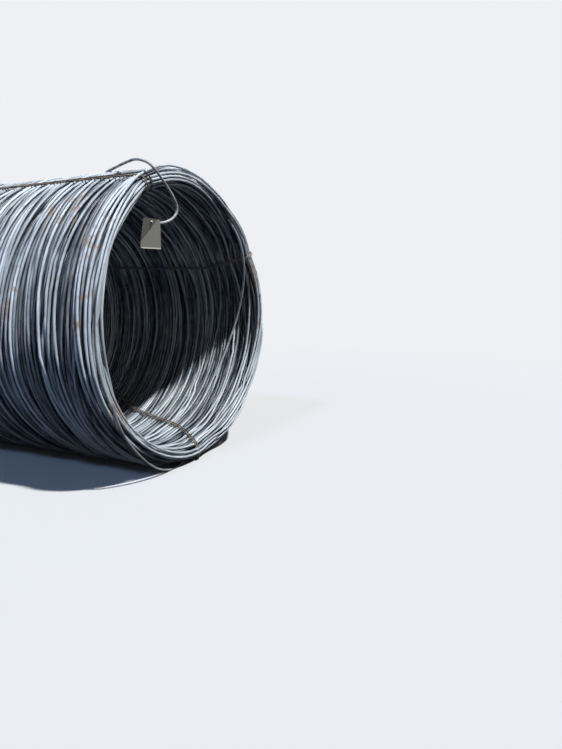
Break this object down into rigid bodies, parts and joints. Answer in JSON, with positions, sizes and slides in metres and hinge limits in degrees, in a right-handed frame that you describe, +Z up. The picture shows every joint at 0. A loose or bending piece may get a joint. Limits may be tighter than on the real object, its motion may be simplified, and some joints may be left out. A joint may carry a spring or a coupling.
{
  "type": "coil of wire rod",
  "caption": "Coil of hot-rolled steel wire rod lying on its side, open through the middle, held by double wire ties, with an identity tag hung on the rod's free end.",
  "frame": {"origin": "on the coil's axis, halfway along the coil", "axes": "+Y along the coil's axis, away from the mouth that carries the tag; +Z up; +X to the right as seen from the tag's side"},
  "size_m": [1.1999, 1.4246, 1.2104],
  "materials": {
    "mill_scale_steel": "blue-grey mill scale on hot-rolled steel, dull sheen, patches of light rust",
    "rusted_tie_wire": "soft annealed steel wire, thinly rusted, matt",
    "tag_plate": "dull grey stamped plate, bare of text"
  },
  "bodies": {
    "root": {"wire_rod_coil": "mill_scale_steel", "rod_end": "mill_scale_steel", "tie_top": "rusted_tie_wire", "tie_right": "rusted_tie_wire", "tie_bottom": "rusted_tie_wire", "tag": "tag_plate"}
  },
  "joints": []
}
